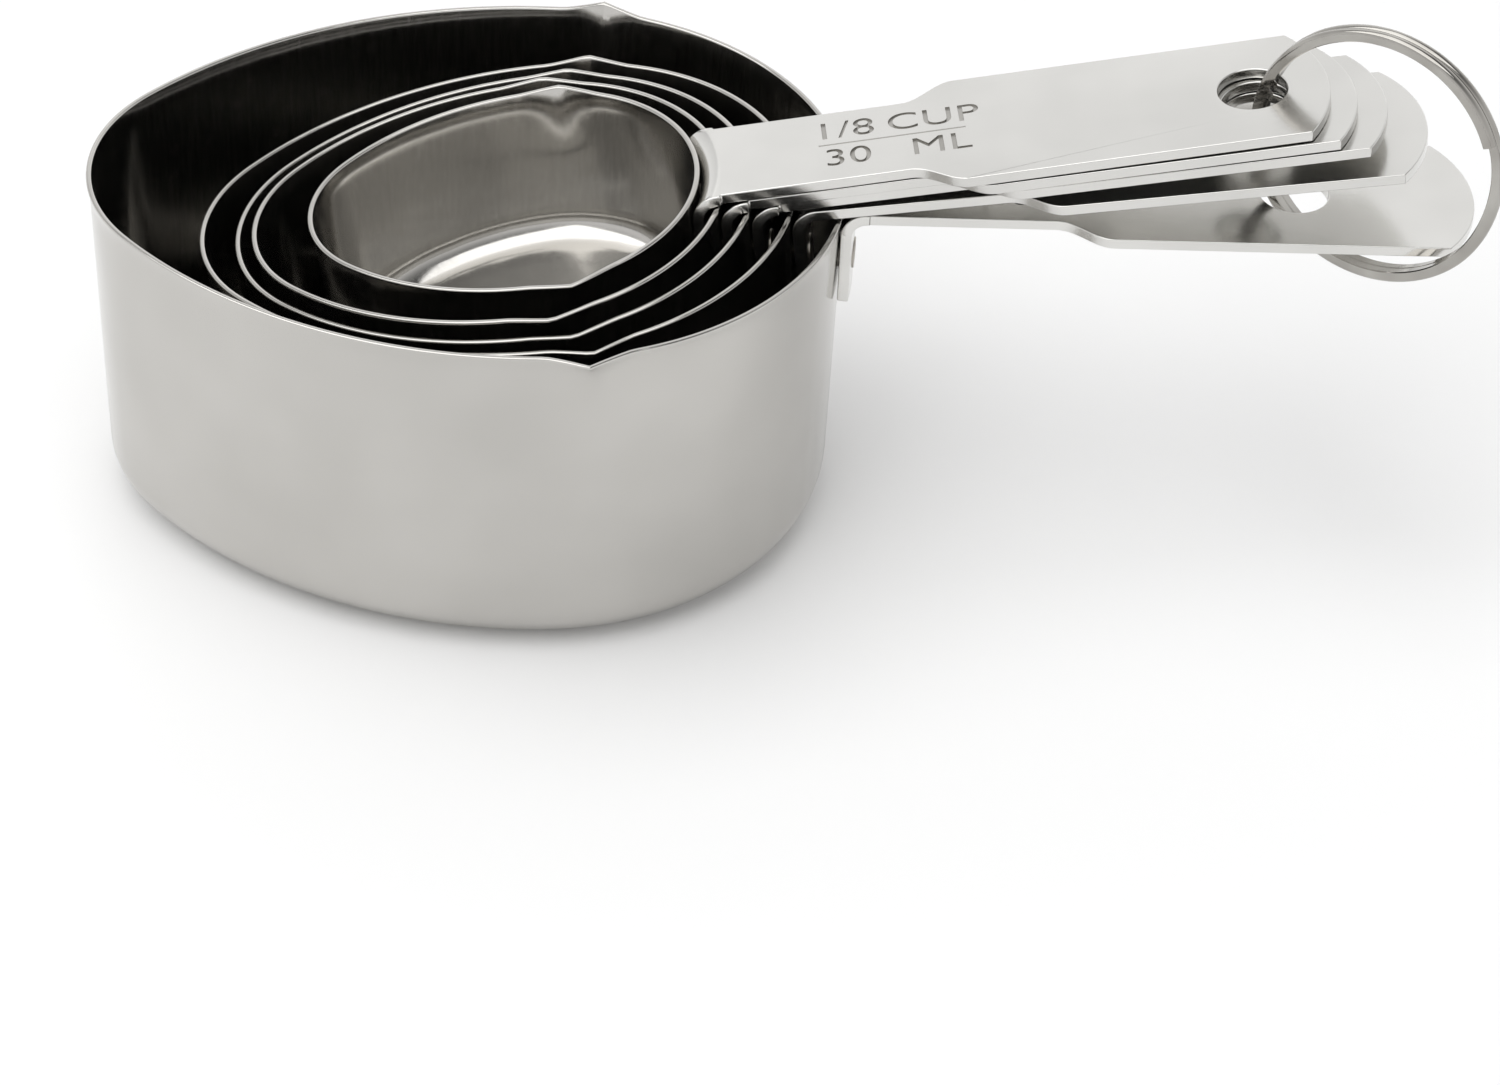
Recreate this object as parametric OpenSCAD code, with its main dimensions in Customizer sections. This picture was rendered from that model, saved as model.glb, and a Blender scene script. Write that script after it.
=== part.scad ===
// Measuring cup set: five nesting steel cups with flat handles, held together by a split ring.
// Millimetres. +X runs along the handle of the largest cup, +Y to the back, +Z up.
// The largest cup stands on z = 0 and its length is centred on x = 0.
// The four smaller cups lie inside it, one in another, tilted with the handle end up.

/* [Cup sizes] */
// Length of the 1 cup bowl along its handle
one_length = 94.5; // [80:0.5:110]
// Width of the 1 cup bowl
one_width = 76; // [64:0.5:88]
// Height of the 1 cup bowl
one_height = 46.9; // [38:0.1:56]
// Length of the 1/2 cup bowl
half_length = 74.5; // [70:0.5:78]
// Width of the 1/2 cup bowl
half_width = 61.5; // [56:0.5:64]
// Height of the 1/2 cup bowl
half_height = 37.2; // [32:0.1:38]
// Length of the 1/3 cup bowl
third_length = 65; // [62:0.5:67]
// Width of the 1/3 cup bowl
third_width = 56; // [52:0.5:57]
// Height of the 1/3 cup bowl
third_height = 31.2; // [28:0.1:32]
// Length of the 1/4 cup bowl
quarter_length = 59; // [56:0.5:60]
// Width of the 1/4 cup bowl
quarter_width = 50; // [46:0.5:51]
// Height of the 1/4 cup bowl
quarter_height = 29.4; // [26:0.1:30]
// Length of the 1/8 cup bowl
eighth_length = 48.5; // [45:0.5:50]
// Width of the 1/8 cup bowl
eighth_width = 41.5; // [38:0.5:43]
// Height of the 1/8 cup bowl
eighth_height = 22; // [18:0.1:24]

/* [Sheet metal of the bowls] */
// Thickness of the drawn sheet
wall = 0.7; // [0.5:0.1:0.9]
// Draft of the bowl wall in degrees
draft = 1; // [0.5:0.1:2]
// Outward flare of the rim
flare = 0.35; // [0:0.05:0.6]
// Height of the flared band
flare_height = 3; // [2:0.5:5]
// Length of the pouring lip down the wall
lip_drop = 9; // [6:0.5:12]

/* [Handles] */
// Thickness of the handle strip
strip = 1.4; // [1:0.1:1.5]
// Half width of the handle next to the bowl
neck_half = 7.6; // [6:0.1:9]
// Half width of the handle past its shoulder
grip_half = 11.3; // [10:0.1:13]
// Distance from the bowl to the start of the shoulder
shoulder_start = 26; // [22:0.5:30]
// Distance from the bowl to the end of the shoulder
shoulder_end = 33; // [31:0.5:38]
// Distance from the bowl to the tip of the handle
handle_length = 78.4; // [74:0.2:82]
// Radius of the rounded tip
tip_radius = 17.3; // [13:0.1:22]
// Outside radius of the bend down onto the bowl
bend_radius = 3; // [2.5:0.1:4]
// Depth of the tab below the rim
tab_drop = 13; // [10:0.5:15]
// Radius of the hanging holes
hole_radius = 4.3; // [4.1:0.1:5]
// Radius of the spot welds
weld_radius = 2; // [1.5:0.1:2.5]

/* [Split ring] */
// Outside radius of the split ring
ring_outer = 16.8; // [16:0.1:18]
// Width of the wire across the ring
wire_wide = 1.5; // [1.2:0.1:1.8]
// Thickness of the wire along the ring axis
wire_thick = 1.25; // [1.1:0.05:1.6]
// Angle at which the crossing between the two turns starts
cross_angle = -27; // [-180:1:180]
// Lean of the ring away from upright in degrees
ring_lean = 4; // [3:0.1:5]
// Turn of the ring about the vertical in degrees
ring_turn = -33.5; // [-35:0.5:-32]

/* [Hidden] */
tab_gap = 0.15;
weld_play = 0.02;
weld_proud = 0.15;
weld_side = 4;
weld_depth = 8;
corner_steps = 6;
shoulder_steps = 8;
cross_span = 50;
turn_step = 7;
layer_gap = 0.06;

// one row for each cup: length, width, height, corner radius, lip reach, distance of the hole
// from the bowl, distance of the lips from the middle
ONE = [one_length, one_width, one_height, 7, 2.2, 56, 16.3];
HALF = [half_length, half_width, half_height, 6, 1.7, 57.8, 11.8];
THIRD = [third_length, third_width, third_height, 5.5, 1.2, 62.5, 9.6];
QUARTER = [quarter_length, quarter_width, quarter_height, 5, 1.2, 66.2, 7.4];
EIGHTH = [eighth_length, eighth_width, eighth_height, 4.5, 1.3, 69, 7.9];

// where each smaller cup lies in the frame of the next bigger one, rim centre to rim centre
half_at = [3.8, -2.6, one_height - 3.4];
half_turn = [0, -7, 1.9];
third_at = [-0.2, -1, 0.75];
third_turn = [0, -1.6, 0.5];
quarter_at = [-0.6, -1, strip + 0.15];
quarter_turn = [0, 0, 0.7];
eighth_at = [2.1, -0.3, strip + 0.15];
eighth_turn = [0, 0, 0.6];

// centre of the split ring
ring_at = [111.4, -6.9, 57.7];

// the plan of a bowl is an egg of four arcs that meet without a kink:
// a blunt end of radius r1 by the handle, a narrower end r2, and two long sides r3
function half_len(c) = c[0] / 2;
function half_wid(c) = c[1] / 2;
function side_x(c) = 0.165 * half_len(c);
function side_r(c) = 0.69 * c[0];
function side_drop(c) = side_r(c) - half_wid(c);
function reach_r(c) = half_len(c) - side_x(c);
function reach_l(c) = half_len(c) + side_x(c);
function end_r(c, a) = (2 * half_wid(c) * side_r(c) - pow(half_wid(c), 2) - a * a)
  / (2 * (side_r(c) - a));
function r1(c) = end_r(c, reach_r(c));
function r2(c) = end_r(c, reach_l(c));
function x1(c) = half_len(c) - r1(c);
function x2(c) = r2(c) - half_len(c);
function seam1(c) = atan2(side_drop(c), x1(c) - side_x(c));
function seam2(c) = atan2(side_drop(c), x2(c) - side_x(c));
function side_y(c, x) = sqrt(pow(side_r(c), 2) - pow(x - side_x(c), 2)) - side_drop(c);

// radius of the outer wall at the start of the rounded corner
function foot_r(c, r) = r - (c[2] - flare_height - c[3]) * tan(draft);

// radius of the plan's arc, and its centre, that the direction t of the plan's normal falls on
function arc_r(c, t) = t <= seam1(c) ? r1(c) : t < seam2(c) ? side_r(c) : r2(c);
function arc_x(c, t) = t <= seam1(c) ? x1(c) : t < seam2(c) ? side_x(c) : x2(c);
function arc_y(c, t) = t <= seam1(c) ? 0 : t < seam2(c) ? -side_drop(c) : 0;

// plan point with normal direction t, moved out by o, and its mirror for the front half
function plan_back(c, t, o) = [arc_x(c, t) + (arc_r(c, t) + o) * cos(t),
  arc_y(c, t) + (arc_r(c, t) + o) * sin(t)];
function plan_at(c, t, o) = t <= 180 ? plan_back(c, t, o)
  : [plan_back(c, 360 - t, o)[0], -plan_back(c, 360 - t, o)[1]];

// normal directions at which the plan is sampled: even on the ends, close at the pouring lips
function lip_dir(c) = acos((c[6] - side_x(c)) / side_r(c));
function lip_step(c, w) = asin(w / side_r(c));
function half_dirs(c) = let (m = lip_dir(c)) concat(
  [for (i = [0:7]) (m - lip_step(c, 5.5)) * i / 8],
  [for (w = [5.5, 3.6, 1.8, 0.7, 0, -0.7, -1.8, -3.6, -5.5]) m - lip_step(c, w)],
  [for (i = [1:13]) m + lip_step(c, 5.5) + (180 - m - lip_step(c, 5.5)) * i / 13]);
function dirs(c) = let (h = half_dirs(c), n = len(h)) concat(h,
  [for (i = [n - 2:-1:1]) 360 - h[i]]);

// outward reach of the pouring lip at distance w along the wall and depth z below the rim
function lip_reach(c, t, z) = let (u = t <= 180 ? t : 360 - t,
  w = abs(side_r(c) * sin(u - lip_dir(c))), k = 1 - w / 5.5, f = 1 + z / lip_drop)
  w >= 5.5 || f <= 0 ? 0 : c[4] * pow(k, 1.35) * pow(f, 1.4);

// rows of the bowl skin: [outward offset, height], from the middle of the foot, over the rim
function out_rows(c) = let (b = foot_r(c, 0), q = c[3], h = c[2], n = corner_steps) concat(
  [for (i = [0:n]) [b - q + q * sin(90 * i / n), q - h - q * cos(90 * i / n)]],
  [[foot_r(c, 0) * lip_drop / (h - q), -lip_drop], [0, -flare_height], [flare * 0.3, -flare_height / 2],
    [flare, 0]]);
function in_rows(c) = let (b = foot_r(c, 0), q = c[3], h = c[2], n = corner_steps) concat(
  [[flare - wall, 0], [flare * 0.3 - wall, -flare_height / 2], [-wall, -flare_height],
    [foot_r(c, 0) * lip_drop / (h - q) - wall, -lip_drop]],
  [for (i = [n:-1:0]) [b - q + (q - wall) * sin(90 * i / n), q - h - (q - wall) * cos(90 * i / n)]]);

function skin_ring(c, p) = [for (t = dirs(c)) let (v = plan_at(c, t, p[0]), y = lip_reach(c, t, p[1]))
  [v[0], v[1] + (t <= 180 ? y : -y), p[1]]];

module bowl(c) {
  m = len(dirs(c));
  rows = concat(out_rows(c), in_rows(c));
  n = len(rows);
  polyhedron(
    points = [for (p = rows) for (v = skin_ring(c, p)) v],
    faces = concat(
      [[for (j = [0:m - 1]) j]],
      [for (i = [0:n - 2]) for (j = [0:m - 1]) for (s = [0, 1])
        let (a = i * m + j, b = i * m + (j + 1) % m)
        s == 0 ? [a, b + m, b] : [a, a + m, b + m]],
      [[for (j = [m - 1:-1:0]) (n - 1) * m + j]]));
}

// tab and bend in section, turned round the axis of the blunt end of the bowl
module tab_section(c) {
  ri = r1(c) + tab_gap;
  b = bend_radius;
  n = 6;
  polygon(concat([[ri, -tab_drop]],
    [for (i = [0:n]) [ri + b - b * cos(90 * i / n), b * sin(90 * i / n) - b]],
    [[ri + b + 3, 0], [ri + b + 3, -strip]],
    [for (i = [n:-1:0]) [ri + b - (b - strip) * cos(90 * i / n), (b - strip) * sin(90 * i / n) - b]],
    [[ri + strip, -tab_drop]]));
}

module handle_plan(c) {
  n = shoulder_steps;
  a = half_len(c);
  s = shoulder_end - shoulder_start;
  g = grip_half - neck_half;
  ease = [for (i = [0:n]) [a + shoulder_start + s * i / n, neck_half + g * (1 - cos(180 * i / n)) / 2]];
  tip = a + handle_length;
  intersection() {
    polygon(concat(
      [[a + tab_gap + bend_radius + 0.5, neck_half]], ease, [[tip + 1, grip_half], [tip + 1, -grip_half]],
      [for (i = [n:-1:0]) [ease[i][0], -ease[i][1]]],
      [[a + tab_gap + bend_radius + 0.5, -neck_half]]));
    union() {
      translate([a, -20]) square([handle_length - tip_radius, 40]);
      translate([tip - tip_radius, 0]) circle(r = tip_radius, $fn = 180);
    }
  }
}

// a weld stands square to the tab, on the radius of the blunt end
module weld_axis(c, side, from, to, r) {
  translate([x1(c), 0, -weld_depth])
    rotate([0, 0, side * asin(weld_side / (r1(c) + tab_gap + strip))])
    translate([from, 0, 0]) rotate([0, 90, 0]) cylinder(r = r, h = to - from, $fn = 48);
}

module handle(c) {
  difference() {
    union() {
      intersection() {
        translate([x1(c), 0, 0]) rotate([0, 0, -35])
          rotate_extrude(angle = 70, $fn = 180) tab_section(c);
        translate([0, -neck_half, -tab_drop - 1]) cube([c[0], 2 * neck_half, tab_drop + 2]);
      }
      translate([0, 0, -strip]) linear_extrude(strip) handle_plan(c);
    }
    translate([half_len(c) + c[5], 0, -strip - 1]) cylinder(r = hole_radius, h = strip + 2, $fn = 72);
    for (side = [-1, 1]) weld_axis(c, side, r1(c) - 3, r1(c) + 8, weld_radius);
  }
}

module weld_pair(c) {
  difference() {
    for (side = [-1, 1])
      weld_axis(c, side, r1(c) - 3, r1(c) + tab_gap + strip + weld_proud, weld_radius - weld_play);
    translate([x1(c), 0, -c[2]]) rotate_extrude($fn = 180)
      polygon([[0, 0], [foot_r(c, r1(c)) + weld_play, c[3]], [r1(c) + weld_play, c[2] - flare_height],
        [r1(c) + weld_play, c[2]], [0, c[2]]]);
  }
}

module one_frame() translate([0, 0, one_height]) children();
module half_frame() translate(half_at) rotate(half_turn) children();
module third_frame() half_frame() translate(third_at) rotate(third_turn) children();
module quarter_frame() third_frame() translate(quarter_at) rotate(quarter_turn) children();
module eighth_frame() quarter_frame() translate(eighth_at) rotate(eighth_turn) children();

// section of the ring wire: flat on the inside and against the other turn, round outside
ring_mean = ring_outer - wire_wide;
function wire(lift) = [for (p = [[0, 0], [0.62, 0], [0.9, 0.16], [1, 0.5], [0.9, 0.84],
    [0.62, 1], [0, 1]]) [ring_mean + wire_wide * p[0], lift + wire_thick * (p[1] - 0.5)]];
layer = (wire_thick + layer_gap) / 2;

// height of the wire along the ring's axis at a travel angle: one turn high, a crossing, one turn low
function rise(a) = a <= 360 ? layer : a >= 360 + cross_span ? -layer
  : layer * cos(180 * (a - 360) / cross_span);

module ring_shape() {
  first = cross_span + 3;
  last = 717;
  turns = ceil((last - first) / turn_step);
  stops = [for (i = [0:turns]) first + (last - first) * i / turns];
  m = len(wire(0));
  polyhedron(
    points = [for (a = stops) for (p = wire(rise(a))) [p[0] * cos(a), p[0] * sin(a), p[1]]],
    faces = concat(
      [[for (j = [0:m - 1]) j]],
      [for (i = [0:turns - 1]) for (j = [0:m - 1]) for (t = [0, 1])
        let (a = i * m + j, b = i * m + (j + 1) % m)
        t == 0 ? [a, b + m, b] : [a, a + m, b + m]],
      [[for (j = [m - 1:-1:0]) turns * m + j]]));
}

module one_bowl() color("#c9c6c1") one_frame() bowl(ONE);
module one_handle() color("#dedddb") one_frame() handle(ONE);
module one_welds() color("#a9a6a2") one_frame() weld_pair(ONE);
module half_bowl() color("#c4c1bc") half_frame() bowl(HALF);
module half_handle() color("#dad9d6") half_frame() handle(HALF);
module half_welds() color("#a9a6a2") half_frame() weld_pair(HALF);
module third_bowl() color("#bfbcb8") third_frame() bowl(THIRD);
module third_handle() color("#d6d5d2") third_frame() handle(THIRD);
module third_welds() color("#a9a6a2") third_frame() weld_pair(THIRD);
module quarter_bowl() color("#bab8b4") quarter_frame() bowl(QUARTER);
module quarter_handle() color("#d2d1ce") quarter_frame() handle(QUARTER);
module quarter_welds() color("#a9a6a2") quarter_frame() weld_pair(QUARTER);
module eighth_bowl() color("#b6b4b0") eighth_frame() bowl(EIGHTH);
module eighth_handle() color("#cecdca") eighth_frame() handle(EIGHTH);
module eighth_welds() color("#a9a6a2") eighth_frame() weld_pair(EIGHTH);
module split_ring() color("#8f8d8a") translate(ring_at) rotate([90 - ring_lean, 0, ring_turn])
  rotate([0, 0, cross_angle]) ring_shape();

one_bowl();
one_handle();
one_welds();
half_bowl();
half_handle();
half_welds();
third_bowl();
third_handle();
third_welds();
quarter_bowl();
quarter_handle();
quarter_welds();
eighth_bowl();
eighth_handle();
eighth_welds();
split_ring();
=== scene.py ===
"""Measuring cup set: five nested steel cups with flat handles, hung together on a split ring."""

import logging
import math
from dataclasses import dataclass
from enum import Enum
from typing import Callable, Iterable, Sequence

import bmesh
import bpy
from mathutils import Euler, Matrix, Vector


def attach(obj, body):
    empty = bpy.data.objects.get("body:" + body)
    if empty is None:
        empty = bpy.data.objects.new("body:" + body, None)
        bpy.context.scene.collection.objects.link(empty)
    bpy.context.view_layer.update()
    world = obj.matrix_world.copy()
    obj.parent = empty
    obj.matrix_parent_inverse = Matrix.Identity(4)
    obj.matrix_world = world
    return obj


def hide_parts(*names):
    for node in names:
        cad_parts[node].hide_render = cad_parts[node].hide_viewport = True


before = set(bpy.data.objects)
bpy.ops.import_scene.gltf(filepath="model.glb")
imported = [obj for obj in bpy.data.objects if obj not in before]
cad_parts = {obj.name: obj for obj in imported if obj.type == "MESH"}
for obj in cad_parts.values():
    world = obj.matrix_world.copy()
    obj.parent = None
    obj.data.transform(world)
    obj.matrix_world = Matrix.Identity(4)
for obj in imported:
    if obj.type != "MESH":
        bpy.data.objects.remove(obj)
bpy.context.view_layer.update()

logging.basicConfig(level=logging.INFO, format="%(message)s")
log = logging.getLogger("cups")

MM = 0.001
MERGE = 1e-6
SAME = 1e-7
QUARTER_TURN = math.pi / 2


class Body(Enum):
    """The six bodies that the pieces ride on."""

    ONE = "one_cup"
    HALF = "half_cup"
    THIRD = "third_cup"
    QUARTER = "quarter_cup"
    EIGHTH = "eighth_cup"
    RING = "split_ring"


class Slot(Enum):
    """The record's material slots."""

    BOWL = "bowl"
    HANDLE = "handle"
    WELDS = "welds"
    RING = "ring"


class Side(Enum):
    """Which half of a symmetric piece is meant."""

    BACK = 1
    FRONT = -1


# --------------------------------------------------------------------------- small helpers


def linear(hex_colour: str) -> tuple[float, float, float, float]:
    """Turns an sRGB hex colour into linear RGBA.

    Args:
        hex_colour: Six hex digits after a hash sign.

    Returns:
        The linear red, green and blue, and an alpha of 1.
    """
    channels = [int(hex_colour[i:i + 2], 16) / 255 for i in (1, 3, 5)]
    r, g, b = (c / 12.92 if c <= 0.04045 else ((c + 0.055) / 1.055) ** 2.4 for c in channels)
    return (r, g, b, 1.0)


def add_node(
    tree: bpy.types.NodeTree,
    kind: str,
    settings: dict[str, object] | None = None,
    links: dict[int | str, bpy.types.NodeSocket] | None = None,
    **values: object,
) -> bpy.types.Node:
    """Adds a shader node with its settings, socket values and links.

    Args:
        tree: The material's or world's node tree.
        kind: The node's type name.
        settings: Properties of the node itself.
        links: Sockets that feed this node's inputs, by input name or number.
        **values: Input values, with spaces of the input name written as underscores.

    Returns:
        The new node.
    """
    node = tree.nodes.new(kind)
    for key, value in (settings or {}).items():
        setattr(node, key, value)
    for key, value in values.items():
        node.inputs[key.replace("_", " ")].default_value = value
    for key, socket in (links or {}).items():
        tree.links.new(socket, node.inputs[key])
    return node


def pick_none() -> None:
    """Deselects every object."""
    bpy.ops.object.select_all(action="DESELECT")


def edit(piece: bpy.types.Object) -> bmesh.types.BMesh:
    """Makes a piece the only one selected and opens it in edit mode.

    Args:
        piece: The mesh object.

    Returns:
        Its edit mesh.
    """
    if bpy.context.mode != "OBJECT":
        bpy.ops.object.mode_set(mode="OBJECT")
    pick_none()
    piece.select_set(True)
    bpy.context.view_layer.objects.active = piece
    bpy.ops.object.mode_set(mode="EDIT")
    return bmesh.from_edit_mesh(piece.data)


def leave_edit() -> None:
    """Goes back to object mode."""
    bpy.ops.object.mode_set(mode="OBJECT")


def pick_verts(piece: bpy.types.Object, test: Callable[[Vector], bool], mode: str = "VERT") -> None:
    """Selects the vertices of a piece, open in edit mode, that pass a test of their place.

    Args:
        piece: The mesh object.
        test: Says whether a vertex at that place is wanted.
        mode: VERT, EDGE or FACE, for what is selected once its vertices are.
    """
    bpy.ops.mesh.select_mode(type="VERT")
    bpy.ops.mesh.select_all(action="DESELECT")
    mesh = bmesh.from_edit_mesh(piece.data)
    for vert in mesh.verts:
        if test(vert.co):
            vert.select = True
    mesh.select_flush(True)
    bmesh.update_edit_mesh(piece.data)
    if mode != "VERT":
        bpy.ops.mesh.select_mode(type=mode)


def begin_chain(name: str, start: Vector) -> bpy.types.Object:
    """Starts a drawn section: a small plane merged to one vertex at the start.

    Args:
        name: The piece's name.
        start: Where the first vertex lies.

    Returns:
        The piece, left in edit mode with that vertex selected.
    """
    pick_none()
    bpy.ops.mesh.primitive_plane_add(size=MM, location=(0, 0, 0))
    piece = bpy.context.active_object
    piece.name = name
    piece.data.name = name
    bpy.ops.object.mode_set(mode="EDIT")
    bpy.ops.mesh.select_mode(type="VERT")
    bpy.ops.mesh.select_all(action="SELECT")
    bpy.ops.mesh.merge(type="CENTER")
    bpy.ops.transform.translate(value=start)
    return piece


def draw_chain(name: str, points: Sequence[Vector], closed: bool = False) -> bpy.types.Object:
    """Draws a section vertex by vertex, as by hand, with extrude.

    Args:
        name: The piece's name.
        points: The section's points in order.
        closed: Whether the last point is joined to the first.

    Returns:
        The piece, left in edit mode with the whole section selected.
    """
    piece = begin_chain(name, points[0])
    for before, after in zip(points, points[1:]):
        bpy.ops.mesh.extrude_vertices_move(TRANSFORM_OT_translate={"value": after - before})
    if closed:
        pick_verts(piece, lambda co: (co - points[0]).length < SAME
                   or (co - points[-1]).length < SAME)
        bpy.ops.mesh.edge_face_add()
    bpy.ops.mesh.select_all(action="SELECT")
    return piece


def turned_to(piece: bpy.types.Object) -> int:
    """Says which way a section drawn on the X axis was turned: 1 towards +Y, -1 towards -Y.

    Args:
        piece: The section, in edit mode.
    """
    mesh = bmesh.from_edit_mesh(piece.data)
    return 1 if max(vert.co.y for vert in mesh.verts) > 0 else -1


def use_modifier(piece: bpy.types.Object, kind: str, **settings: object) -> None:
    """Adds a modifier to a piece in object mode and applies it.

    Args:
        piece: The mesh object.
        kind: The modifier's type.
        **settings: Its settings.
    """
    pick_none()
    piece.select_set(True)
    bpy.context.view_layer.objects.active = piece
    modifier = piece.modifiers.new(kind.title(), kind)
    for key, value in settings.items():
        setattr(modifier, key, value)
    bpy.ops.object.modifier_apply(modifier=modifier.name)


def cut_with(piece: bpy.types.Object, tool: bpy.types.Object) -> None:
    """Takes a tool's shape out of a piece and removes the tool.

    Args:
        piece: The mesh object that is cut.
        tool: The closed mesh object that cuts it.
    """
    use_modifier(piece, "BOOLEAN", operation="DIFFERENCE", object=tool, solver="EXACT")
    bpy.data.objects.remove(tool, do_unlink=True)


def set_in_place(piece: bpy.types.Object, place: Matrix) -> None:
    """Moves a piece's mesh to its place, so that the object itself stays at the origin.

    Args:
        piece: The mesh object, modelled in its own sub-assembly's frame.
        place: That frame in the row frame.
    """
    if bpy.context.mode != "OBJECT":
        leave_edit()
    pick_none()
    piece.select_set(True)
    bpy.context.view_layer.objects.active = piece
    piece.matrix_world = place
    bpy.ops.object.transform_apply(location=True, rotation=True, scale=True)


def smooth(piece: bpy.types.Object, degrees: float) -> None:
    """Shades a piece smooth, except across edges sharper than an angle.

    Args:
        piece: The mesh object.
        degrees: The angle.
    """
    pick_none()
    piece.select_set(True)
    bpy.context.view_layer.objects.active = piece
    bpy.ops.object.shade_smooth_by_angle(angle=math.radians(degrees))


def hand_over(
    piece: bpy.types.Object, body: Body, finish: bpy.types.Material, nodes: Iterable[str]
) -> None:
    """Hangs a finished piece on its body, hides the CAD nodes that it replaces, and gives it a
    material if it has none yet.

    Args:
        piece: The mesh object, in place.
        body: The body that it rides on.
        finish: The material of a piece that has none.
        nodes: The CAD nodes that it replaces.
    """
    if not piece.data.materials:
        piece.data.materials.append(finish)
    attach(piece, body.value)
    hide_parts(*nodes)
    log.info("%s: %d faces, rides on %s", piece.name, len(piece.data.polygons), body.value)


# --------------------------------------------------------------------------- finishes


@dataclass(frozen=True)
class Steel:
    """A stainless steel finish: a clean metal with fine marks of its making.

    The metal is given by metallic 1 and its colour, and the making by how rough it is, how much
    that varies over a hand's breadth, and by a fine grain that runs along one direction.
    """

    name: str
    colour: str
    shade: str
    roughness: float
    spread: float
    grain_mm: float
    grain_stretch: tuple[float, float, float]
    grain_depth_mm: float
    cloud_mm: float
    cloud_depth_mm: float
    speck: float
    streak_mm: float = 3.0
    streak_depth_mm: float = 0.0

    def build(self) -> bpy.types.Material:
        """Makes the material with nodes on Object coordinates."""
        material = bpy.data.materials.new(self.name)
        material.use_nodes = True
        tree = material.node_tree
        tree.nodes.clear()
        where = add_node(tree, "ShaderNodeTexCoord").outputs["Object"]
        # grain: noise with cells of grain_mm, drawn out along the direction of polishing
        aligned = add_node(tree, "ShaderNodeMapping", links={"Vector": where},
                           Scale=self.grain_stretch)
        grain = add_node(tree, "ShaderNodeTexNoise", links={"Vector": aligned.outputs[0]},
                         Scale=1 / (self.grain_mm * MM), Detail=3.0, Roughness=0.6)
        # cloud: the slow waviness of drawn sheet and of handling
        cloud = add_node(tree, "ShaderNodeTexNoise", links={"Vector": where},
                         Scale=1 / (self.cloud_mm * MM), Detail=2.0, Roughness=0.5)
        # speck: small dull marks and water spots
        speck = add_node(tree, "ShaderNodeTexNoise", links={"Vector": where},
                         Scale=1 / (2.6 * MM), Detail=4.0, Roughness=0.7)
        marks = add_node(tree, "ShaderNodeMapRange", links={"Value": speck.outputs["Fac"]},
                         From_Min=0.56, From_Max=0.74, To_Min=0.0, To_Max=self.speck)
        rough = add_node(tree, "ShaderNodeMapRange", links={"Value": grain.outputs["Fac"]},
                         From_Min=0.25, From_Max=0.75, To_Min=self.roughness - self.spread,
                         To_Max=self.roughness + self.spread)
        rougher = add_node(tree, "ShaderNodeMath", settings={"operation": "ADD"},
                           links={0: rough.outputs[0], 1: marks.outputs[0]})
        tone = add_node(tree, "ShaderNodeMapRange", links={"Value": cloud.outputs["Fac"]},
                        From_Min=0.3, From_Max=0.7)
        tint = add_node(tree, "ShaderNodeMix", settings={"data_type": "RGBA"},
                        links={"Factor": tone.outputs[0]})
        tint.inputs["A"].default_value = linear(self.colour)
        tint.inputs["B"].default_value = linear(self.shade)
        # streak: the drawing die's faint flutes, which run up the wall and break up reflections
        upright = add_node(tree, "ShaderNodeMapping", links={"Vector": where},
                           Scale=(1.0, 1.0, 0.06))
        streak = add_node(tree, "ShaderNodeTexNoise", links={"Vector": upright.outputs[0]},
                          Scale=1 / (self.streak_mm * MM), Detail=0.6, Roughness=0.4)
        flute = add_node(tree, "ShaderNodeBump", links={"Height": streak.outputs["Fac"]},
                         Strength=1.0, Distance=self.streak_depth_mm * MM)
        wave = add_node(tree, "ShaderNodeBump",
                        links={"Height": cloud.outputs["Fac"], "Normal": flute.outputs[0]},
                        Strength=1.0, Distance=self.cloud_depth_mm * MM)
        scratch = add_node(tree, "ShaderNodeBump",
                           links={"Height": grain.outputs["Fac"], "Normal": wave.outputs[0]},
                           Strength=1.0, Distance=self.grain_depth_mm * MM)
        steel = add_node(tree, "ShaderNodeBsdfPrincipled",
                         links={"Base Color": tint.outputs["Result"],
                                "Roughness": rougher.outputs[0],
                                "Normal": scratch.outputs[0]},
                         Metallic=1.0)
        add_node(tree, "ShaderNodeOutputMaterial", links={"Surface": steel.outputs[0]})
        return material


# Drawn and buffed stainless sheet: a nearly mirror skin with a faint haze, warm grey.
BUFFED_SHEET = Steel("buffed_stainless_sheet", "#C5C3BF", "#BBB9B5", 0.15, 0.03, 0.6,
                     (1.0, 1.0, 0.12), 0.0002, 24, 0.03, 0.05, 4.0, 0.09)
# Stamped strip with brushed faces: lines along the handle, paler and softer than the bowl.
BRUSHED_STRIP = Steel("brushed_stainless_strip", "#DCDBD8", "#D2D1CE", 0.2, 0.03, 0.3,
                      (0.08, 1.0, 1.0), 0.0003, 16, 0.01, 0.04)
# Stamped capacity marks: the punch leaves the metal duller, and the darker colour is painted shade in
# the recessed strokes.
DULL_MARK_PAINTED_SHADE = Steel("dull_stainless_painted_shade", "#B4B2AE", "#A6A49F", 0.4, 0.05, 0.5,
                     (1.0, 1.0, 1.0), 0.0004, 6, 0.005, 0.05)
# Resistance weld spots: dull and a little darker where the sheet was squeezed.
WELD_SPOT = Steel("dull_weld_steel", "#B9B5AE", "#A39E96", 0.38, 0.08, 0.6,
                  (1.0, 1.0, 1.0), 0.006, 3, 0.02, 0.1)
# Rolled spring wire with bright plating: smooth, with soft lines along the turns.
SPRING_WIRE = Steel("bright_spring_wire", "#B4B2AD", "#9E9B96", 0.1, 0.03, 0.5,
                    (1.0, 1.0, 1.0), 0.0004, 6, 0.02, 0.06)


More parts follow.
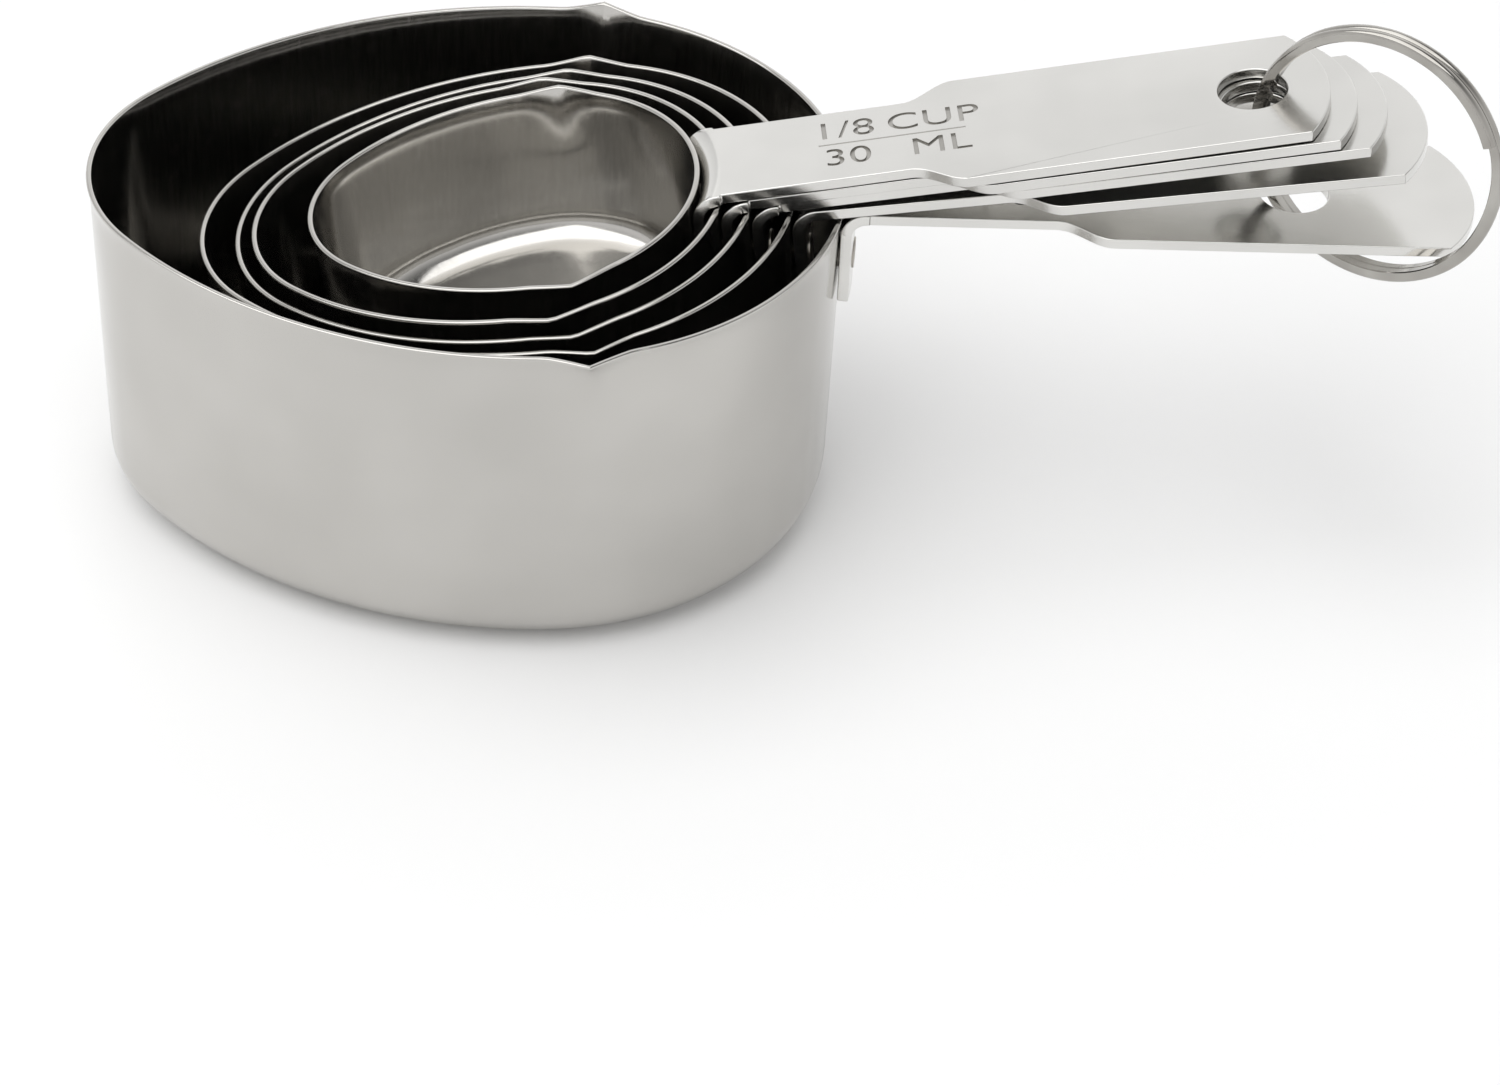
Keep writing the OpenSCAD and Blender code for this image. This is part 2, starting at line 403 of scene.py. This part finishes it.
# --------------------------------------------------------------------------- one cup


@dataclass
class Cup:
    """A cup: a drawn bowl with two pouring lips, a stamped handle, and two weld spots.

    Sizes are in millimetres. The cup's own frame has its origin at the middle of the rim, with
    +X along the handle and the bowl below z = 0.
    """

    key: str
    body: Body
    length: float
    width: float
    height: float
    corner: float
    lip: float
    hole: float
    lip_at: float
    place: Matrix
    words: tuple[str, str]
    wall: float = 0.7
    draft: float = 1.0
    flare: float = 0.35
    flare_height: float = 3.0
    lip_drop: float = 9.0
    lip_half: float = 5.5
    strip: float = 1.4
    neck: float = 7.6
    grip: float = 11.3
    shoulder: tuple[float, float] = (26.0, 33.0)
    reach: float = 78.4
    tip_radius: float = 17.3
    bend: float = 3.0
    tab_drop: float = 13.0
    hole_radius: float = 4.3
    tab_gap: float = 0.15
    weld_radius: float = 1.98
    weld_side: float = 4.0
    weld_depth: float = 8.0
    spacing: float = 1.0
    corner_steps: int = 10
    wall_rows: tuple[float, ...] = (-24, -18, -13, -10.5, -9, -7.7, -6.4, -5.2, -4.1)
    flare_rows: tuple[tuple[float, float], ...] = ((0, -3.0), (0.12, -2.1), (0.38, -1.2))
    rim_row: tuple[float, float] = (0.8, -0.5)
    rim_round: float = 0.22
    foot_rings: tuple[float, ...] = (0.16, 0.2, 0.25)
    lip_point: float = 1.35
    lip_fade: float = 1.4
    bend_steps: int = 12
    ledge: float = 0.5
    letter: float = 5.0
    letter_depth: float = 0.24
    letter_stretch: float = 1.18
    bar_at: tuple[float, float] = (24.4, 0.3)
    bar_size: tuple[float, float, float] = (18.4, 0.42, 0.3)
    mark_from: float = 12
    mark_to: float = 36
    mark_half: float = 6.5
    mark_floor: float = -0.4
    mark_top: float = -0.03
    weld_proud: float = 0.15
    dimple: tuple[tuple[float, float], ...] = ((0.45, 0.0), (0.5, -0.1), (0.5, -0.05))

    def __post_init__(self) -> None:
        """Works out the four arcs of the egg-shaped plan."""
        a, b = self.length / 2, self.width / 2
        self.side_x = 0.165 * a
        self.side_r = 0.69 * self.length
        self.side_drop = self.side_r - b
        self.end_r = self._end(a - self.side_x)
        self.nose_r = self._end(a + self.side_x)
        self.end_x = a - self.end_r
        self.nose_x = self.nose_r - a
        self.seam_end = math.atan2(self.side_drop, self.end_x - self.side_x)
        self.seam_nose = math.atan2(self.side_drop, self.nose_x - self.side_x)

    def _end(self, run: float) -> float:
        """Radius of an end arc that meets the sides without a kink, at a run from their centre."""
        b = self.width / 2
        return (2 * b * self.side_r - b * b - run * run) / (2 * (self.side_r - run))

    # ----- bowl

    def section(self) -> list[tuple[float, float]]:
        """The sheet's section: offset from the plan's outline and height, foot to rim to foot."""
        q, h = self.corner, self.height
        lean = math.tan(math.radians(self.draft))
        straight = h - self.flare_height - q
        foot = -straight * lean
        steps = self.corner_steps
        turns = [QUARTER_TURN * i / steps for i in range(steps + 1)]
        outer = [(foot - q + q * math.sin(t), q - h - q * math.cos(t)) for t in turns]
        rows = [z for z in self.wall_rows if z > q - h + 1]
        outer += [(foot * (-z - self.flare_height) / straight, z) for z in rows]
        outer += [(self.flare * share, z) for share, z in self.flare_rows]
        inner = [(o - self.wall, z) for o, z in outer[steps + 1:]][::-1]
        inner += [(foot - q + (q - self.wall) * math.sin(t),
                   q - h - (q - self.wall) * math.cos(t)) for t in reversed(turns)]
        # the rim: the flare's last millimetre, with the two edges of the sheet rounded off
        round_r = self.rim_round
        outside, inside = self.flare, self.flare - self.wall
        share, level = self.rim_row
        rim = [(self.flare * share, level)]
        rim += [(outside - round_r + round_r * math.cos(t), -round_r + round_r * math.sin(t))
                for t in (0.0, math.pi / 6, math.pi / 3, math.pi / 2)]
        rim += [(inside + round_r - round_r * math.sin(t), -round_r + round_r * math.cos(t))
                for t in (0.0, math.pi / 6, math.pi / 3, math.pi / 2)]
        rim += [(self.flare * share - self.wall, level)]
        return outer + rim + inner

    def sweep(self, piece: bpy.types.Object, radius: float, angle: float, centre: Vector) -> None:
        """Spins the selected end of the skin about the upright axis of one arc of the plan.

        Args:
            piece: The bowl, in edit mode, with the end of its skin selected; not used.
            radius: The arc's radius in millimetres.
            angle: How far the arc turns, in radians.
            centre: The arc's centre.
        """
        steps = max(4, round(radius * angle / self.spacing))
        bpy.ops.mesh.spin(steps=steps, angle=-angle, center=centre, axis=(0, 0, 1))

    def build_bowl(self) -> bpy.types.Object:
        """Spins the section round the four arcs, closes the foot and presses in the lips."""
        start = [Vector(((self.length / 2 + o) * MM, 0, z * MM)) for o, z in self.section()]
        piece = draw_chain(f"{self.key}_bowl_skin", start)
        end = Vector((self.end_x * MM, 0, 0))
        nose = Vector((self.nose_x * MM, 0, 0))
        back = Vector((self.side_x * MM, -self.side_drop * MM, 0))
        front = Vector((self.side_x * MM, self.side_drop * MM, 0))
        turn = self.seam_nose - self.seam_end
        self.sweep(piece, self.end_r, self.seam_end, end)
        self.sweep(piece, self.side_r, turn, back)
        self.sweep(piece, self.nose_r, 2 * (math.pi - self.seam_nose), nose)
        self.sweep(piece, self.side_r, turn, front)
        self.sweep(piece, self.end_r, self.seam_end, end)
        bpy.ops.mesh.select_all(action="SELECT")
        bpy.ops.mesh.remove_doubles(threshold=MERGE)
        self.close_foot(piece)
        self.press_lips(piece)
        bpy.ops.mesh.select_all(action="SELECT")
        bpy.ops.mesh.normals_make_consistent(inside=False)
        leave_edit()
        smooth(piece, 40)
        set_in_place(piece, self.place)
        return piece

    def close_foot(self, piece: bpy.types.Object) -> None:
        """Fills the foot outside and the floor inside, each with rings of faces towards its middle.

        Args:
            piece: The bowl, in edit mode.
        """
        for level in (-self.height, self.wall - self.height):
            pick_verts(piece, lambda co: abs(co.z - level * MM) < MERGE, mode="EDGE")
            bpy.ops.mesh.edge_face_add()
            for share in self.foot_rings:
                bpy.ops.mesh.inset(thickness=share * self.width / 2 * MM, depth=0)

    def press_lips(self, piece: bpy.types.Object) -> None:
        """Pushes both walls outward into a pointed pouring lip on the back and on the front.

        Args:
            piece: The bowl, in edit mode.
        """
        heading = math.acos((self.lip_at - self.side_x) / self.side_r)
        mesh = bmesh.from_edit_mesh(piece.data)
        for vert in mesh.verts:
            side = Side.BACK if vert.co.y > 0 else Side.FRONT
            x, y, z = vert.co.x / MM, side.value * vert.co.y / MM, vert.co.z / MM
            around = math.atan2(y + self.side_drop, x - self.side_x)
            along = abs(self.side_r * math.sin(around - heading))
            fall = 1 + z / self.lip_drop
            if y > 5 and along < self.lip_half and fall > 0:
                push = self.lip * (1 - along / self.lip_half) ** self.lip_point * fall ** self.lip_fade
                vert.co.y += side.value * push * MM
        bmesh.update_edit_mesh(piece.data)

    # ----- handle

    def build_handle(self, strip: bpy.types.Material,
                     punched_shade: bpy.types.Material) -> bpy.types.Object:
        """Draws the tab and bend, runs the strip out to its tip, thickens, pierces and marks it.

        Args:
            strip: Finish of the strip.
            punched_shade: Finish of the stamped marks: duller, and darker as painted shade in their
                recesses.

        Returns:
            The handle, in place.
        """
        piece = self.bent_tab()
        self.run_out(piece)
        leave_edit()
        use_modifier(piece, "SOLIDIFY", thickness=self.strip * MM, offset=-1.0)
        self.pierce(piece)
        edit(piece)
        bpy.ops.mesh.select_all(action="SELECT")
        bpy.ops.mesh.dissolve_limited(angle_limit=math.radians(0.2))
        leave_edit()
        use_modifier(piece, "BEVEL", width=0.16 * MM, segments=3, limit_method="ANGLE",
                     angle_limit=math.radians(40), use_clamp_overlap=False)
        self.mark(piece)
        self.dress_marks(piece, strip, punched_shade)
        smooth(piece, 32)
        set_in_place(piece, self.place)
        # flat faces keep their own normal, so the shine turns only on the rounded edges
        use_modifier(piece, "WEIGHTED_NORMAL", keep_sharp=True, weight=80)
        return piece

    def bent_tab(self) -> bpy.types.Object:
        """Spins the outer face of the tab and bend round the bowl's blunt end and trims its sides."""
        inner = self.end_r + self.tab_gap
        centre = Vector((self.end_x * MM, 0, 0))
        far = inner + self.bend
        points = [(inner, z) for z in (-self.tab_drop, -9.0, -6.0, -self.bend)]
        turns = [QUARTER_TURN * i / self.bend_steps for i in range(1, self.bend_steps + 1)]
        points += [(far - self.bend * math.cos(t), -self.bend + self.bend * math.sin(t))
                   for t in turns]
        points += [(far + self.ledge, 0.0)]
        chain = [Vector(((self.end_x + x) * MM, 0, z * MM)) for x, z in points]
        piece = draw_chain(f"{self.key}_handle_strip", chain)
        half = math.asin(min(0.9, (self.neck + 1.5) / inner))
        bpy.ops.transform.rotate(value=half, orient_axis="Z", center_override=centre)
        bpy.ops.mesh.spin(steps=24, angle=turned_to(piece) * 2 * half, center=centre,
                          axis=(0, 0, 1))
        for side in Side:
            bpy.ops.mesh.select_all(action="SELECT")
            bpy.ops.mesh.bisect(plane_co=(0, side.value * self.neck * MM, 0),
                                plane_no=(0, side.value, 0), threshold=SAME,
                                clear_outer=True)
        bpy.ops.mesh.select_all(action="SELECT")
        bpy.ops.mesh.remove_doubles(threshold=MERGE)
        return piece

    def run_out(self, piece: bpy.types.Object) -> None:
        """Extrudes the strip from the bend through the shoulders to the rounded tip.

        Args:
            piece: The handle's outer face, in edit mode.
        """
        edge_r = (self.end_r + self.tab_gap + self.bend + self.ledge) * MM
        pick_verts(piece, lambda co: abs(math.hypot(co.x - self.end_x * MM, co.y) - edge_r) < MERGE
                   and abs(co.z) < SAME, mode="EDGE")
        base = self.length / 2
        first = base + self.tab_gap + self.bend + 1.5
        low, high = self.shoulder
        stops = [(base + low, self.neck)]
        for i in range(1, 13):
            run = low + (high - low) * i / 12
            stops.append((base + run,
                          self.neck + (self.grip - self.neck) * (1 - math.cos(math.pi * i / 12)) / 2))
        corner = self.reach - self.tip_radius + math.sqrt(self.tip_radius ** 2 - self.grip ** 2)
        stops.append((base + corner, self.grip))
        # the first row is drawn straight across, and the others follow from it
        bpy.ops.mesh.extrude_edges_move(TRANSFORM_OT_translate={"value": (0, 0, 0)})
        bpy.ops.transform.resize(value=(0, 1, 1), center_override=(first * MM, 0, 0))
        x, half = first, self.neck
        for stop, wide in stops:
            bpy.ops.mesh.extrude_edges_move(
                TRANSFORM_OT_translate={"value": ((stop - x) * MM, 0, 0)})
            bpy.ops.transform.resize(value=(1, wide / half, 1),
                                     center_override=(stop * MM, 0, 0))
            x, half = stop, wide
        # the rounded tip: one more row, bowed out to the arc
        bpy.ops.mesh.extrude_edges_move(TRANSFORM_OT_translate={"value": (0, 0, 0)})
        mesh = bmesh.from_edit_mesh(piece.data)
        for vert in mesh.verts:
            if vert.select:
                bow = math.sqrt(self.tip_radius ** 2 - (vert.co.y / MM) ** 2) - self.tip_radius
                vert.co.x = (base + self.reach + bow) * MM
        bmesh.update_edit_mesh(piece.data)
        bpy.ops.mesh.select_all(action="SELECT")
        bpy.ops.mesh.remove_doubles(threshold=2 * MERGE)
        bpy.ops.mesh.normals_make_consistent(inside=False)
        mesh = bmesh.from_edit_mesh(piece.data)
        top = max(mesh.faces, key=lambda f: f.calc_center_median().x)
        if top.normal.z < 0:
            bpy.ops.mesh.flip_normals()

    def pierce(self, piece: bpy.types.Object) -> None:
        """Punches the hanging hole near the tip.

        Args:
            piece: The handle, in object mode.
        """
        pick_none()
        bpy.ops.mesh.primitive_cylinder_add(
            vertices=72, radius=self.hole_radius * MM, depth=4 * MM,
            location=((self.length / 2 + self.hole) * MM, 0, -self.strip / 2 * MM))
        cut_with(piece, bpy.context.active_object)

    def mark(self, piece: bpy.types.Object) -> None:
        """Stamps the capacity into the handle's top: cups over a bar over millilitres.

        Args:
            piece: The handle, in object mode.
        """
        base = self.length / 2
        for text, x, y in self.layout():
            pick_none()
            bpy.ops.object.text_add(location=(0, 0, 0))
            tool = bpy.context.active_object
            tool.data.body = text
            tool.data.size = self.letter * MM
            tool.data.extrude = self.letter_depth * MM
            tool.data.space_character = 1.05
            tool.data.align_x = "CENTER"
            tool.data.align_y = "CENTER"
            bpy.ops.object.convert(target="MESH")
            tool = bpy.context.active_object
            edit(tool)
            bpy.ops.mesh.select_all(action="SELECT")
            bpy.ops.mesh.remove_doubles(threshold=SAME)
            leave_edit()
            set_in_place(tool, Matrix.Translation(((base + x) * MM, y * MM, 0))
                         @ Matrix.Diagonal((self.letter_stretch, 1.0, 1.0, 1.0)))
            cut_with(piece, tool)
        pick_none()
        bar_x, bar_y = self.bar_at
        bpy.ops.mesh.primitive_cube_add(size=1, location=((base + bar_x) * MM, bar_y * MM, 0),
                                        scale=[side * MM for side in self.bar_size])
        bar = bpy.context.active_object
        bpy.ops.object.transform_apply(location=True, rotation=True, scale=True)
        edit(bar)
        pick_verts(bar, lambda co: co.z < 0, mode="FACE")
        bpy.ops.transform.resize(value=(0.985, 0.5, 1))
        leave_edit()
        cut_with(piece, bar)

    def dress_marks(self, piece: bpy.types.Object, strip: bpy.types.Material,
                    punched_shade: bpy.types.Material) -> None:
        """Gives the strip its finish, and the faces below its top in the stamped area their own,
        darker as painted shade in the recesses.

        Args:
            piece: The handle, in object mode, in the cup's own frame.
            strip: Finish of the strip.
            punched_shade: Finish of the stamped marks, duller, whose darker colour is painted shade in
                the recesses.
        """
        piece.data.materials.clear()
        piece.data.materials.append(strip)
        piece.data.materials.append(punched_shade)
        base = self.length / 2
        mesh = edit(piece)
        bpy.ops.mesh.select_mode(type="FACE")
        bpy.ops.mesh.select_all(action="DESELECT")
        # the faces down in the stamped strokes get the duller finish, whose darker colour is painted
        # shade in the recesses
        for face in mesh.faces:
            middle = face.calc_center_median() / MM
            along = self.mark_from < middle.x - base < self.mark_to
            if (along and abs(middle.y) < self.mark_half
                    and self.mark_floor < middle.z < self.mark_top):
                face.select = True
        bmesh.update_edit_mesh(piece.data)
        piece.active_material_index = 1
        bpy.ops.object.material_slot_assign()
        leave_edit()

    def layout(self) -> list[tuple[str, float, float]]:
        """Where each word of the capacity mark goes: the text, and its middle on the handle."""
        cups, millilitres = self.words
        return [(cups, 18.6, 3.1), ("CUP", 29.7, 3.1), (millilitres, 18.7, -2.7), ("ML", 30.2, -2.7)]

    # ----- welds

    def build_welds(self) -> bpy.types.Object:
        """Makes the two spot welds on the tab: low discs with the electrode's dimple."""
        outer = self.end_r + self.tab_gap + self.strip + self.weld_proud
        start = self.end_r - self.weld_proud
        lean = math.asin(self.weld_side / (self.end_r + self.tab_gap + self.strip))
        pieces = []
        for side in Side:
            pick_none()
            bpy.ops.mesh.primitive_cylinder_add(
                vertices=40, radius=self.weld_radius * MM, depth=(outer - start) * MM,
                location=((outer + start) / 2 * MM, 0, -self.weld_depth * MM),
                rotation=(0, math.pi / 2, 0))
            piece = bpy.context.active_object
            bpy.ops.object.transform_apply(location=True, rotation=True, scale=True)
            edit(piece)
            pick_verts(piece, lambda co: co.x > (outer - 0.01) * MM, mode="FACE")
            for inset, depth in self.dimple:
                bpy.ops.mesh.inset(thickness=inset * MM, depth=depth * MM)
            leave_edit()
            use_modifier(piece, "BEVEL", width=0.1 * MM, segments=2, limit_method="ANGLE",
                         angle_limit=math.radians(50))
            # a weld stands square to the tab, so it is turned about the axis of the blunt end
            set_in_place(piece, Matrix.Translation((self.end_x * MM, 0, 0))
                         @ Matrix.Rotation(side.value * lean, 4, "Z"))
            pieces.append(piece)
        pick_none()
        for piece in pieces:
            piece.select_set(True)
        bpy.context.view_layer.objects.active = pieces[0]
        bpy.ops.object.join()
        welds = bpy.context.active_object
        welds.name = f"{self.key}_weld_spots"
        welds.data.name = welds.name
        smooth(welds, 40)
        set_in_place(welds, self.place)
        return welds

    def build(self, bowl: bpy.types.Material, strip: bpy.types.Material,
              punched_shade: bpy.types.Material, spot: bpy.types.Material) -> None:
        """Makes the cup's pieces and hands each over to the cup's body.

        Args:
            bowl: Finish of the drawn sheet.
            strip: Finish of the handle.
            punched_shade: Finish of the stamped marks: duller, and darker as painted shade in their
                recesses.
            spot: Finish of the welds.
        """
        hand_over(self.build_bowl(), self.body, bowl, [f"{self.key}_bowl"])
        hand_over(self.build_handle(strip, punched_shade), self.body, strip,
                  [f"{self.key}_handle"])
        hand_over(self.build_welds(), self.body, spot, [f"{self.key}_welds"])


# --------------------------------------------------------------------------- the ring


@dataclass
class SplitRing:
    """A split ring: two turns of flat-backed spring wire, one over the other, with a crossing."""

    outer: float = 16.8
    wide: float = 1.5
    thick: float = 1.25
    gap: float = 0.06
    cross_at: float = -27.0
    cross_span: float = 50.0
    lean: float = 4.0
    turn: float = -33.5
    at: tuple[float, float, float] = (111.4, -6.9, 57.7)
    step: float = 3.0
    overlap: float = 3.0
    wound: float = 717.0
    cross_steps: int = 16

    def section(self) -> list[Vector]:
        """The wire's section at the start: flat inside and towards the other turn, round outside."""
        mean = self.outer - self.wide
        half = self.thick / 2
        small = 0.12
        points = [(mean + small, -half), (mean + 0.62 * self.wide, -half)]
        for t in (-60, -35, -12, 12, 35, 60):
            angle = math.radians(t)
            points.append((mean + 0.62 * self.wide + 0.38 * self.wide * math.cos(angle),
                           half * math.sin(angle) / math.sin(math.radians(75))))
        points += [(mean + 0.62 * self.wide, half), (mean + small, half), (mean, half - small),
                   (mean, small - half)]
        lift = (self.thick + self.gap) / 2
        return [Vector((x * MM, 0, (y + lift) * MM)) for x, y in points]

    def place(self) -> Matrix:
        """The ring's frame in the row frame, with its axis along local Z."""
        tilt = Euler((math.radians(90 - self.lean), 0, math.radians(self.turn)), "XYZ")
        spin = Matrix.Rotation(math.radians(self.cross_at), 4, "Z")
        return Matrix.Translation(Vector(self.at) * MM) @ tilt.to_matrix().to_4x4() @ spin

    def build(self, finish: bpy.types.Material) -> None:
        """Winds the wire: the upper turn, the crossing, the lower turn, then both cut ends.

        Args:
            finish: The wire's finish.
        """
        piece = draw_chain("split_ring_wire", self.section(), closed=True)
        first = math.radians(self.cross_span + self.overlap)
        bpy.ops.transform.rotate(value=first, orient_axis="Z", center_override=(0, 0, 0))
        sense = turned_to(piece)
        if sense < 0:
            bpy.ops.transform.rotate(value=-2 * first, orient_axis="Z", center_override=(0, 0, 0))
        upper = math.radians(360 - self.cross_span - self.overlap)
        steps = round(math.degrees(upper) / self.step)
        bpy.ops.mesh.spin(steps=steps, angle=-upper, center=(0, 0, 0), axis=(0, 0, 1))
        lift = (self.thick + self.gap) / 2
        count = self.cross_steps
        before = 1.0
        for i in range(1, count + 1):
            after = math.cos(math.pi * i / count)
            bpy.ops.mesh.extrude_edges_move(
                TRANSFORM_OT_translate={"value": (0, 0, (after - before) * lift * MM)})
            bpy.ops.transform.rotate(value=sense * math.radians(self.cross_span) / count,
                                     orient_axis="Z", center_override=(0, 0, 0))
            before = after
        lower = math.radians(self.wound - 360 - self.cross_span)
        bpy.ops.mesh.spin(steps=round(math.degrees(lower) / self.step), angle=-lower,
                          center=(0, 0, 0), axis=(0, 0, 1))
        bpy.ops.mesh.select_all(action="SELECT")
        bpy.ops.mesh.remove_doubles(threshold=MERGE)
        bpy.ops.mesh.select_all(action="DESELECT")
        bpy.ops.mesh.select_mode(type="EDGE")
        bpy.ops.mesh.select_non_manifold(extend=False)
        bpy.ops.mesh.edge_face_add()
        bpy.ops.mesh.select_all(action="SELECT")
        bpy.ops.mesh.normals_make_consistent(inside=False)
        leave_edit()
        smooth(piece, 35)
        set_in_place(piece, self.place())
        hand_over(piece, Body.RING, finish, ["split_ring"])


# --------------------------------------------------------------------------- the set


def turned(at: Sequence[float], turn: Sequence[float]) -> Matrix:
    """A frame moved by millimetres and turned by degrees about X, then Y, then Z."""
    angles = Euler([math.radians(a) for a in turn], "XYZ")
    return Matrix.Translation(Vector(at) * MM) @ angles.to_matrix().to_4x4()


@dataclass
class CupSet:
    """The whole set: five cups, one in another, and the ring through their handles."""

    bowl: Steel = BUFFED_SHEET
    strip: Steel = BRUSHED_STRIP
    # the stamped marks' finish: duller, and darker as painted shade in the recesses
    mark: Steel = DULL_MARK_PAINTED_SHADE
    spot: Steel = WELD_SPOT
    wire: Steel = SPRING_WIRE

    def cups(self) -> list[Cup]:
        """The five cups, each placed in the frame of the next bigger one."""
        one = Matrix.Translation((0, 0, 46.9 * MM))
        half = turned((3.8, -2.6, 43.5), (0, -7, 1.9))
        third = half @ turned((-0.2, -1.0, 0.75), (0, -1.6, 0.5))
        quarter = third @ turned((-0.6, -1.0, 1.55), (0, 0, 0.7))
        eighth = quarter @ turned((2.1, -0.3, 1.55), (0, 0, 0.6))
        return [
            Cup("one", Body.ONE, 94.5, 76, 46.9, 7, 2.2, 56, 16.3, one, ("1", "240")),
            Cup("half", Body.HALF, 74.5, 61.5, 37.2, 6, 1.7, 57.8, 11.8, half, ("1/2", "120")),
            Cup("third", Body.THIRD, 65, 56, 31.2, 5.5, 1.2, 62.5, 9.6, third, ("1/3", "80")),
            Cup("quarter", Body.QUARTER, 59, 50, 29.4, 5, 1.2, 66.2, 7.4, quarter, ("1/4", "60")),
            Cup("eighth", Body.EIGHTH, 48.5, 41.5, 22, 4.5, 1.3, 69, 7.9, eighth, ("1/8", "30")),
        ]

    def build(self) -> None:
        """Makes the finishes, the cups and the ring."""
        bowl, strip = self.bowl.build(), self.strip.build()
        punched_shade, spot = self.mark.build(), self.spot.build()
        for cup in self.cups():
            cup.build(bowl, strip, punched_shade, spot)
        SplitRing().build(self.wire.build())


# --------------------------------------------------------------------------- the studio


@dataclass
class Studio:
    """A white table under soft light, with the camera looking down from the front."""

    eye: tuple[float, float, float] = (22.174, -464.307, 372.111)
    aim: tuple[float, float, float] = (-0.006006, 0.775374, -0.631473)
    right: tuple[float, float, float] = (0.999647, 0.021008, 0.016289)
    lens: float = 108.599
    shift: tuple[float, float] = (0.094, -0.026)
    room_strength: float = 1.22
    key_watts: float = 14.3
    back_watts: float = 1.5

    def build_camera(self) -> None:
        """Places the camera and makes it the scene's own."""
        data = bpy.data.cameras.new("studio_camera")
        data.lens = self.lens
        data.sensor_width = 36.0
        data.shift_x, data.shift_y = self.shift
        data.clip_start = 0.01
        data.clip_end = 20.0
        camera = bpy.data.objects.new("studio_camera", data)
        bpy.context.scene.collection.objects.link(camera)
        right, back = Vector(self.right).normalized(), -Vector(self.aim).normalized()
        up = back.cross(right)
        turn = Matrix((right, up, back)).transposed().to_4x4()
        camera.matrix_world = Matrix.Translation(Vector(self.eye) * MM) @ turn
        bpy.context.scene.camera = camera

    def build_table(self) -> None:
        """Makes the pale table: a wide sheet of matt white laminate."""
        pick_none()
        bpy.ops.mesh.primitive_plane_add(size=6.0, location=(0, 0, 0))
        table = bpy.context.active_object
        table.name = "table"
        material = bpy.data.materials.new("matt_white_laminate")
        material.use_nodes = True
        tree = material.node_tree
        tree.nodes.clear()
        where = add_node(tree, "ShaderNodeTexCoord").outputs["Object"]
        grain = add_node(tree, "ShaderNodeTexNoise", links={"Vector": where}, Scale=900.0,
                         Detail=2.0)
        bump = add_node(tree, "ShaderNodeBump", links={"Height": grain.outputs["Fac"]},
                        Strength=0.3, Distance=0.02 * MM)
        sheet = add_node(tree, "ShaderNodeBsdfPrincipled", links={"Normal": bump.outputs[0]},
                         Base_Color=linear("#F6F6F6"), Roughness=0.7)
        add_node(tree, "ShaderNodeOutputMaterial", links={"Surface": sheet.outputs[0]})
        table.data.materials.append(material)

    def build_light(self) -> None:
        """Makes a room, pale below and dark above, with one soft box overhead and one behind."""
        world = bpy.data.worlds.new("studio_room")
        bpy.context.scene.world = world
        world.use_nodes = True
        tree = world.node_tree
        tree.nodes.clear()
        where = add_node(tree, "ShaderNodeTexCoord").outputs["Generated"]
        height = add_node(tree, "ShaderNodeSeparateXYZ", links={0: where})
        ramp = add_node(tree, "ShaderNodeValToRGB", links={"Fac": height.outputs["Z"]})
        stops = ramp.color_ramp.elements
        stops[0].position, stops[0].color = 0.0, linear("#F4F4F4")
        stops[1].position, stops[1].color = 0.95, linear("#3A3A3A")
        middle = stops.new(0.5)
        middle.color = linear("#D8D8D8")
        room = add_node(tree, "ShaderNodeBackground", links={"Color": ramp.outputs[0]},
                        Strength=self.room_strength)
        add_node(tree, "ShaderNodeOutputWorld", links={"Surface": room.outputs[0]})
        self.add_box_light("key", (-0.3, -0.15, 1.2), (0, 0, 0.02), 1.5, self.key_watts)
        self.add_box_light("back", (0.15, 1.0, 0.8), (0, 0, 0.02), 1.2, self.back_watts)

    def add_box_light(self, name: str, at: Sequence[float], target: Sequence[float], size: float,
                      watts: float) -> None:
        """Adds a square soft box that faces a point.

        Args:
            name: The light's name.
            at: Where it hangs, in metres.
            target: The point that it faces.
            size: Its side in metres.
            watts: Its power.
        """
        data = bpy.data.lights.new(name, "AREA")
        data.energy = watts
        data.size = size
        light = bpy.data.objects.new(name, data)
        bpy.context.scene.collection.objects.link(light)
        aim = Vector(target) - Vector(at)
        light.matrix_world = (Matrix.Translation(Vector(at))
                              @ aim.to_track_quat("-Z", "Y").to_matrix().to_4x4())

    def build(self) -> None:
        """Makes the camera, the table and the light."""
        self.build_camera()
        self.build_table()
        self.build_light()
        bpy.context.scene.view_settings.view_transform = "Standard"


def main() -> None:
    """Builds the studio and the set."""
    Studio().build()
    CupSet().build()


if __name__ == "__main__":
    main()
